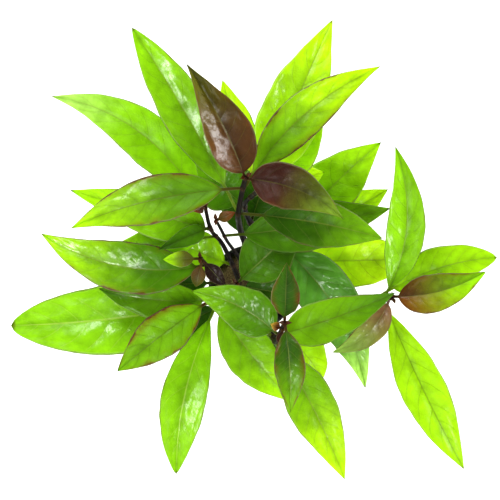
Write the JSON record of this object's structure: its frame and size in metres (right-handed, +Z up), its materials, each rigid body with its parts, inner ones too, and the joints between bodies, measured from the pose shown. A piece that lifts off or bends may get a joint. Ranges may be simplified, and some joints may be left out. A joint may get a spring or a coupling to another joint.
{
  "type": "potted aquarium plant",
  "caption": "Bushy aquatic stem plant with lance-shaped green and bronze leaves, rooted in mineral wool in a small slotted nursery pot.",
  "frame": {"origin": "centre of the pot's flat underside, at the height of the surface it stands on", "axes": "+Z is up along the pot's axis, +X is the picture's right and +Y is the picture's top, with the picture taken from straight above"},
  "size_m": [0.2662, 0.2423, 0.2232],
  "materials": {
    "pot": "satin",
    "mineral_wool": "matte",
    "stem": "satin",
    "leaf_green": "gloss",
    "leaf_lime": "gloss",
    "leaf_deep": "gloss",
    "leaf_bronze": "gloss"
  },
  "bodies": {
    "root": {"pot": "pot", "growing_medium": "mineral_wool", "tall_stem": "stem", "tall_leaf_1": "leaf_bronze", "tall_leaf_2": "leaf_bronze", "tall_leaf_3": "leaf_green", "tall_leaf_4": "leaf_green", "tall_leaf_5": "leaf_green", "tall_leaf_6": "leaf_deep", "back_stem": "stem", "back_leaf_1": "leaf_lime", "back_leaf_2": "leaf_lime", "back_leaf_3": "leaf_green", "back_leaf_4": "leaf_lime", "back_leaf_5": "leaf_deep", "back_leaf_6": "leaf_deep", "middle_stem": "stem", "middle_leaf_1": "leaf_green", "middle_leaf_2": "leaf_lime", "middle_leaf_3": "leaf_deep", "middle_leaf_4": "leaf_lime", "left_stem": "stem", "left_leaf_1": "leaf_green", "left_leaf_2": "leaf_deep", "left_leaf_3": "leaf_green", "left_leaf_4": "leaf_green", "left_leaf_5": "leaf_green", "thin_stem": "stem", "thin_leaf_1": "leaf_deep", "thin_leaf_2": "leaf_deep", "short_stem": "stem", "short_leaf_1": "leaf_deep", "short_leaf_2": "leaf_deep", "young_stem": "stem", "young_leaf_1": "leaf_lime", "young_leaf_2": "leaf_bronze", "young_leaf_3": "leaf_green", "young_leaf_4": "leaf_deep", "low_stem": "stem", "low_leaf_1": "leaf_green", "low_leaf_2": "leaf_green", "low_leaf_3": "leaf_deep", "low_leaf_4": "leaf_green", "low_leaf_5": "leaf_green", "low_leaf_6": "leaf_deep", "front_stem": "stem", "front_leaf_1": "leaf_bronze", "front_leaf_2": "leaf_bronze", "front_leaf_3": "leaf_green", "front_leaf_4": "leaf_green", "front_leaf_5": "leaf_lime", "front_leaf_6": "leaf_deep", "front_leaf_7": "leaf_lime", "front_leaf_8": "leaf_deep", "right_stem": "stem", "right_leaf_1": "leaf_bronze", "right_leaf_2": "leaf_bronze", "right_leaf_3": "leaf_green", "right_leaf_4": "leaf_lime", "right_leaf_5": "leaf_lime"}
  },
  "joints": []
}
